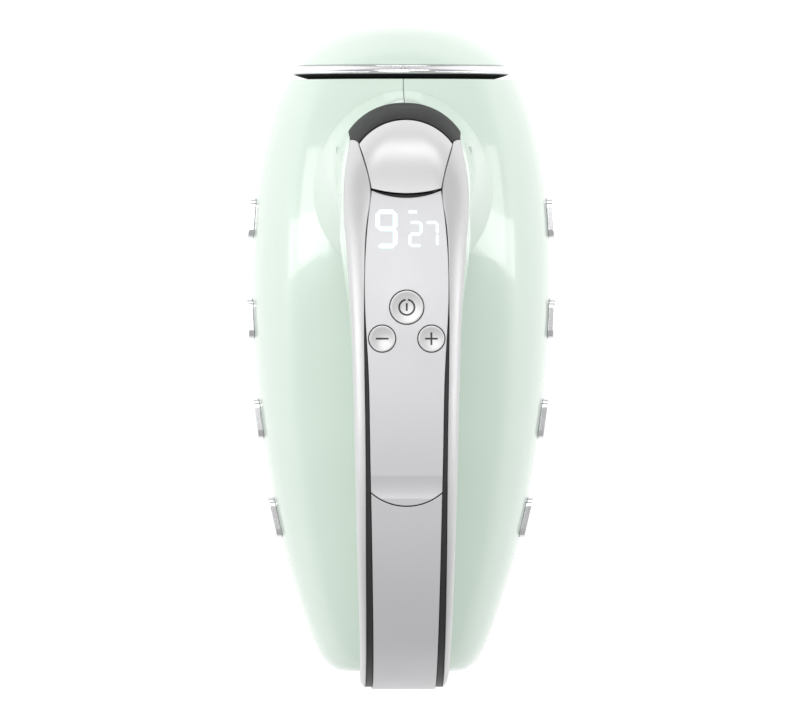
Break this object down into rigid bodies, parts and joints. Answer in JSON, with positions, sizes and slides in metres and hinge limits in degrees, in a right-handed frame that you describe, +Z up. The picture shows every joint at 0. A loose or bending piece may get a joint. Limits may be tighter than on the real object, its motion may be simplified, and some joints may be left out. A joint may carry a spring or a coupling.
{
  "type": "hand mixer",
  "caption": "Retro hand mixer with an oval mint body, a closed silver-railed loop handle, a digital display, keys and two wire beaters.",
  "frame": {"origin": "centre of the flat rest pad's face under the body", "axes": "+Z up out of the body towards the handle, +Y towards the nose, +X across the body"},
  "size_m": [0.0966, 0.2073, 0.279],
  "materials": {
    "mint_gloss": "glossy pale mint",
    "silver_paint": "satin silver paint",
    "panel_silver": "fine satin silver",
    "chrome": "polished",
    "dark_plastic": "fine matt",
    "dark_grip": "soft-touch",
    "button_grey": "satin light grey",
    "display_light": "lit",
    "rubber": "matt",
    "steel": "machined",
    "beater_steel": "polished stainless",
    "motor_steel": "zinc plated",
    "magnet": "matt ferrite",
    "copper": "enamelled copper",
    "bronze": "sintered bronze",
    "gear_nylon": "natural nylon",
    "housing_plastic": "glass-filled",
    "carbon": "pressed carbon",
    "circuit": "solder mask"
  },
  "bodies": {
    "mixer_body": {"body_shell_left": "mint_gloss", "body_shell_right": "mint_gloss", "base_cover": "silver_paint", "rest_pad": "rubber", "base_screws": "steel", "side_trims_left": "chrome", "side_trims_right": "chrome", "nose_spacer": "dark_plastic", "trim_ring": "chrome", "nose_cap": "mint_gloss", "handle_rail_left": "silver_paint", "handle_rail_right": "silver_paint", "grip_spine": "dark_grip", "spine_screws": "steel", "control_panel": "panel_silver", "display_digits": "display_light", "display_module": "dark_plastic", "rear_strip": "panel_silver", "front_collar": "dark_plastic", "control_board": "circuit", "power_key_spring": "steel", "minus_key_spring": "steel", "plus_key_spring": "steel", "eject_spring": "steel", "motor_can": "motor_steel", "motor_mounts": "rubber", "motor_magnets": "magnet", "motor_end_bell": "housing_plastic", "brushes": "carbon", "shaft_bearings": "bronze", "gearbox_housing": "housing_plastic", "gearbox_cover": "housing_plastic", "gearbox_screws": "steel", "spindle_bushes": "bronze", "cord_gland": "rubber", "power_board": "circuit", "wire_harness": "rubber"},
    "eject_group": {"eject_button": "button_grey", "eject_plunger": "steel", "eject_yoke": "housing_plastic"},
    "power_key": {"power_key": "button_grey"},
    "minus_key": {"minus_key": "button_grey"},
    "plus_key": {"plus_key": "button_grey"},
    "rotor": {"motor_shaft": "steel", "armature": "motor_steel", "windings": "copper", "commutator": "copper", "fan": "housing_plastic"},
    "spindle_left": {"spindle_left": "steel", "worm_wheel_left": "gear_nylon", "circlips_left": "steel"},
    "spindle_right": {"spindle_right": "steel", "worm_wheel_right": "gear_nylon", "circlips_right": "steel"},
    "beater_left": {"beater_shaft_left": "beater_steel", "beater_collar_left": "housing_plastic", "beater_wires_left": "beater_steel"},
    "beater_right": {"beater_shaft_right": "beater_steel", "beater_collar_right": "housing_plastic", "beater_wires_right": "beater_steel"}
  },
  "joints": [
    {"name": "motor_spin", "type": "hinge", "parent": "mixer_body", "child": "rotor", "pos_m": [0, 0, 0.042], "axis": [0, 1, 0], "continuous": true},
    {"name": "spindle_left_spin", "type": "hinge", "parent": "mixer_body", "child": "spindle_left", "pos_m": [-0.018, 0.046, 0.042], "axis": [0, 0, 1], "continuous": true},
    {"name": "spindle_right_spin", "type": "hinge", "parent": "mixer_body", "child": "spindle_right", "pos_m": [0.018, 0.046, 0.042], "axis": [0, 0, 1], "continuous": true},
    {"name": "eject_press", "type": "slide", "parent": "mixer_body", "child": "eject_group", "axis": [0, 0, -1], "range_m": [0, 0.006], "stiffness_N_per_m": 1200, "springref_m": -0.001, "deforming": ["eject_spring"]},
    {"name": "beater_left_eject", "type": "slide", "parent": "spindle_left", "child": "beater_left", "axis": [0, 0, -1], "range_m": [0, 0.006]},
    {"name": "beater_right_eject", "type": "slide", "parent": "spindle_right", "child": "beater_right", "axis": [0, 0, -1], "range_m": [0, 0.006]},
    {"name": "power_press", "type": "slide", "parent": "mixer_body", "child": "power_key", "axis": [0, 0, -1], "range_m": [0, 0.001], "stiffness_N_per_m": 900, "deforming": ["power_key_spring"]},
    {"name": "minus_press", "type": "slide", "parent": "mixer_body", "child": "minus_key", "axis": [0, 0, -1], "range_m": [0, 0.001], "stiffness_N_per_m": 900, "deforming": ["minus_key_spring"]},
    {"name": "plus_press", "type": "slide", "parent": "mixer_body", "child": "plus_key", "axis": [0, 0, -1], "range_m": [0, 0.001], "stiffness_N_per_m": 900, "deforming": ["plus_key_spring"]}
  ],
  "couplings": [
    {"joint": "spindle_left_spin", "follows": "motor_spin", "ratio": -0.055556},
    {"joint": "spindle_right_spin", "follows": "motor_spin", "ratio": 0.055556},
    {"joint": "beater_left_eject", "follows": "eject_press", "ratio": 1},
    {"joint": "beater_right_eject", "follows": "eject_press", "ratio": 1}
  ]
}
